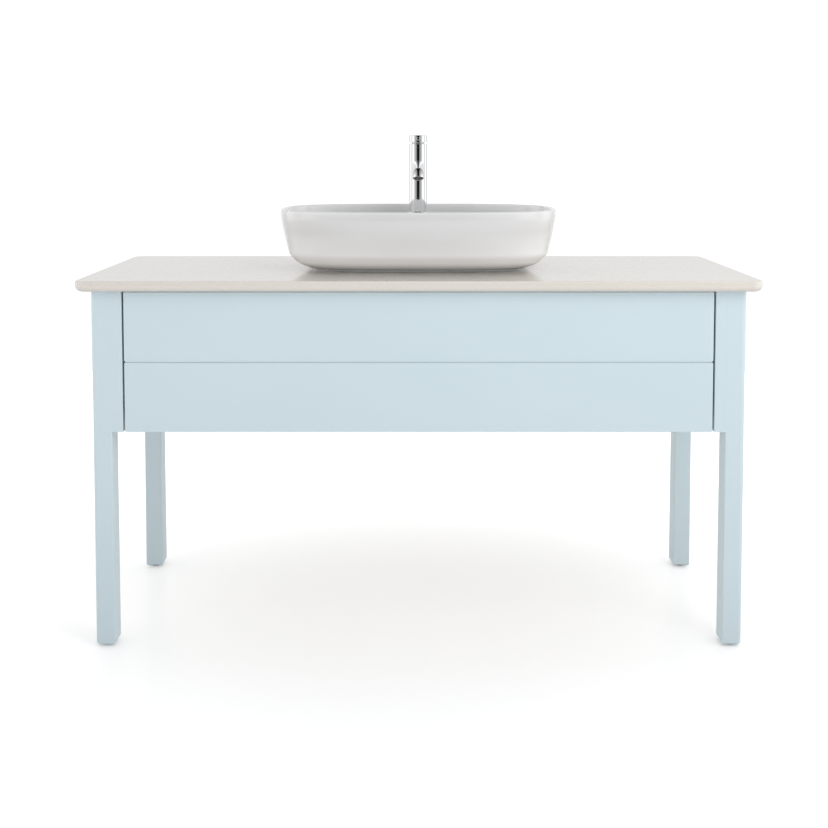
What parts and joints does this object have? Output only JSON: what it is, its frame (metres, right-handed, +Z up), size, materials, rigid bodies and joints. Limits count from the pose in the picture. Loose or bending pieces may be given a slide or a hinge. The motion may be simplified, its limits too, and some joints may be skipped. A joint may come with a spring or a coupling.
{
  "type": "vessel basin vanity unit",
  "caption": "Freestanding bathroom vanity: stone slab on square legs, a wide vessel basin with a tall single-lever tap, and handleless drawers one above the other.",
  "frame": {"origin": "on the floor under the centre of the plan", "axes": "+X to the right along the width seen from the front, +Y towards the wall behind, +Z up"},
  "size_m": [1.388, 0.57, 1.054],
  "materials": {
    "lacquer": "pale grey-blue satin lacquer on board",
    "quartz": "polished warm white quartz",
    "ceramic": "white gloss glaze",
    "chrome": "bright chrome plate",
    "birch": "pale melamine board",
    "zinc": "zinc-plated steel",
    "glide": "dark plastic",
    "rubber": "black rubber",
    "brass": "plain brass",
    "copper": "plain copper tube",
    "cartridge": "pale plastic cartridge",
    "aerator": "grey plastic mesh"
  },
  "bodies": {
    "cabinet": {"slab": "quartz", "leg_front_left": "lacquer", "leg_front_right": "lacquer", "leg_back_left": "lacquer", "leg_back_right": "lacquer", "glide_front_left": "glide", "glide_front_right": "glide", "glide_back_left": "glide", "glide_back_right": "glide", "side_panel_left": "lacquer", "side_panel_right": "lacquer", "apron_left": "lacquer", "apron_right": "lacquer", "back_rail": "lacquer", "front_rail": "birch", "upper_channel_left": "zinc", "upper_channel_right": "zinc", "lower_channel_left": "zinc", "lower_channel_right": "zinc", "basin": "ceramic", "tap_gasket": "rubber", "tap_ring": "chrome", "tap_body": "chrome", "tap_shank": "brass", "tap_washer": "zinc", "tap_nut": "brass", "inlet_hot": "copper", "inlet_cold": "copper", "cartridge": "cartridge", "cartridge_nut": "brass", "aerator": "aerator", "waste_body": "chrome", "waste_seal": "rubber", "waste_nut": "zinc", "trap_tube": "chrome", "trap_nut": "chrome", "trap_cup": "chrome", "outlet_pipe": "chrome", "outlet_nut": "chrome", "wall_plate": "chrome"},
    "upper_drawer": {"upper_front": "lacquer", "upper_side_left": "birch", "upper_side_right": "birch", "upper_bottom": "birch", "upper_back": "birch", "upper_runner_left": "zinc", "upper_runner_right": "zinc"},
    "lower_drawer": {"lower_front": "lacquer", "lower_side_left": "birch", "lower_side_right": "birch", "lower_bottom": "birch", "lower_back": "birch", "lower_runner_left": "zinc", "lower_runner_right": "zinc"},
    "stem": {"stem": "zinc"},
    "cap": {"cap": "chrome", "lever": "chrome"},
    "plug": {"waste_plug": "chrome"}
  },
  "joints": [
    {"name": "upper_drawer_slide", "type": "slide", "parent": "cabinet", "child": "upper_drawer", "axis": [0, -1, 0], "range_m": [0, 0.33]},
    {"name": "lower_drawer_slide", "type": "slide", "parent": "cabinet", "child": "lower_drawer", "axis": [0, -1, 0], "range_m": [0, 0.33]},
    {"name": "temperature_turn", "type": "hinge", "parent": "cabinet", "child": "stem", "pos_m": [0, 0.13, 1.0365], "axis": [0, 0, 1], "range_deg": [-40, 40]},
    {"name": "flow_tilt", "type": "hinge", "parent": "stem", "child": "cap", "pos_m": [0, 0.13, 1.0365], "axis": [-1, 0, 0], "range_deg": [0, 18]},
    {"name": "plug_slide", "type": "slide", "parent": "cabinet", "child": "plug", "axis": [0, 0, 1], "range_m": [0, 0.008]}
  ]
}
